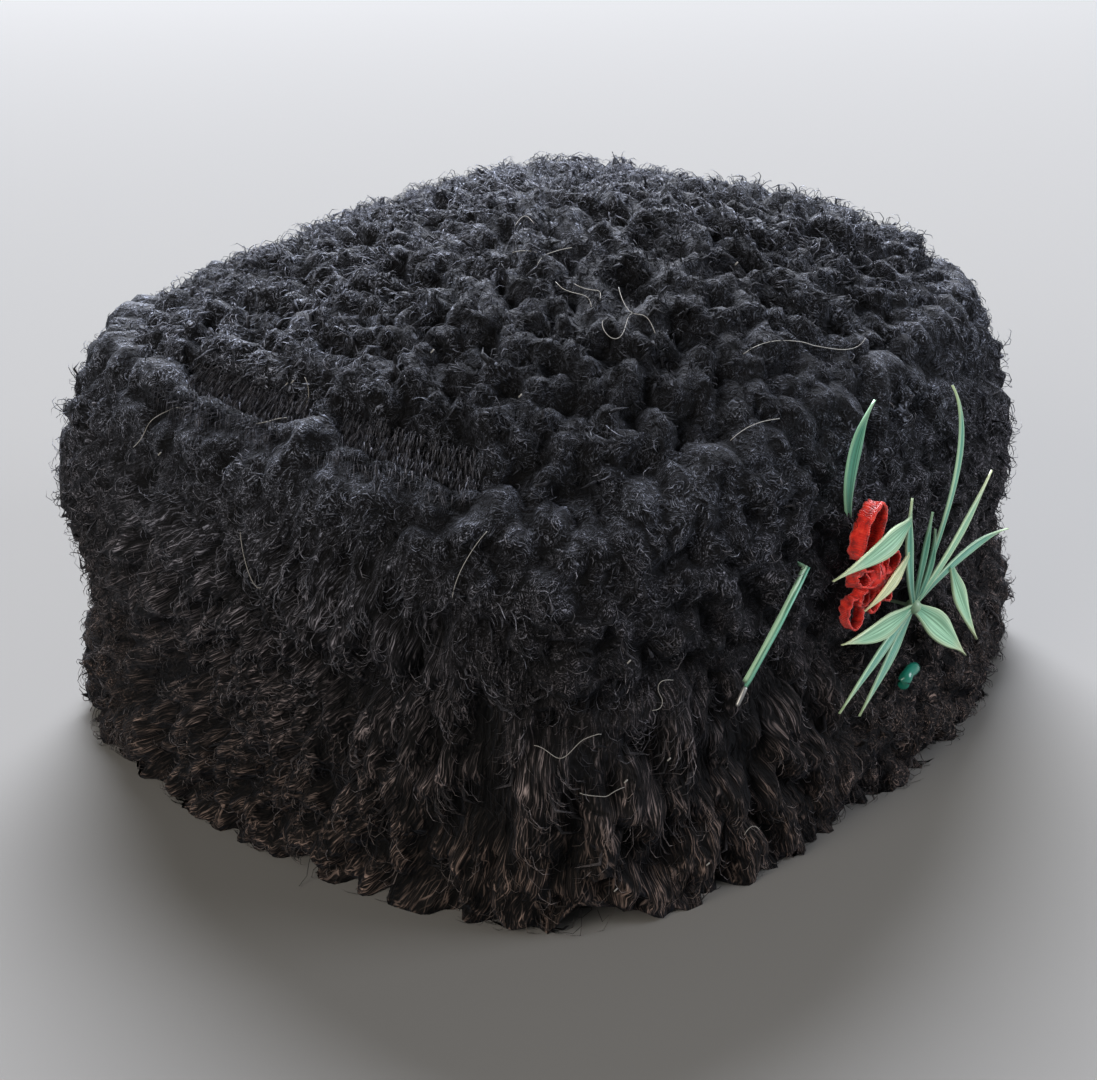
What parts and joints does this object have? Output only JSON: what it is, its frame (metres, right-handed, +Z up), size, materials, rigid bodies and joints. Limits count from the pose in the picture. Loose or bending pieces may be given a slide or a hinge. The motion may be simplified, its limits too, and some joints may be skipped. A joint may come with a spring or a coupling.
{
  "type": "lambskin kalpak hat with artificial flower sprig",
  "caption": "Low soft hat of curly black lambskin: a domed crown sewn into a rolled side band with a pointed front, and a small artificial sprig pinned on one side.",
  "frame": {"origin": "middle of the hat's box at the level of its rim", "axes": "+Z up, -Y toward the hat's front corner, +X toward the wearer's left, where the sprig is"},
  "size_m": [0.2181, 0.2209, 0.1162],
  "materials": {
    "band_lambskin": "curly black lamb's wool on its skin, matt",
    "crown_lambskin": "curly black lamb's wool on its skin, matt",
    "leaf_plastic": "moulded soft plastic leaf, pale at the tips",
    "stub_plastic": "smooth teal plastic",
    "wire": "thin tinned wire",
    "ribbon": "crinkled woven satin ribbon"
  },
  "bodies": {
    "root": {"band": "band_lambskin", "crown": "crown_lambskin", "leaf_spray": "leaf_plastic", "side_blade": "leaf_plastic", "loose_stem": "leaf_plastic", "stem_stub": "stub_plastic", "stem_wire": "wire", "ribbon_flower": "ribbon"}
  },
  "joints": []
}
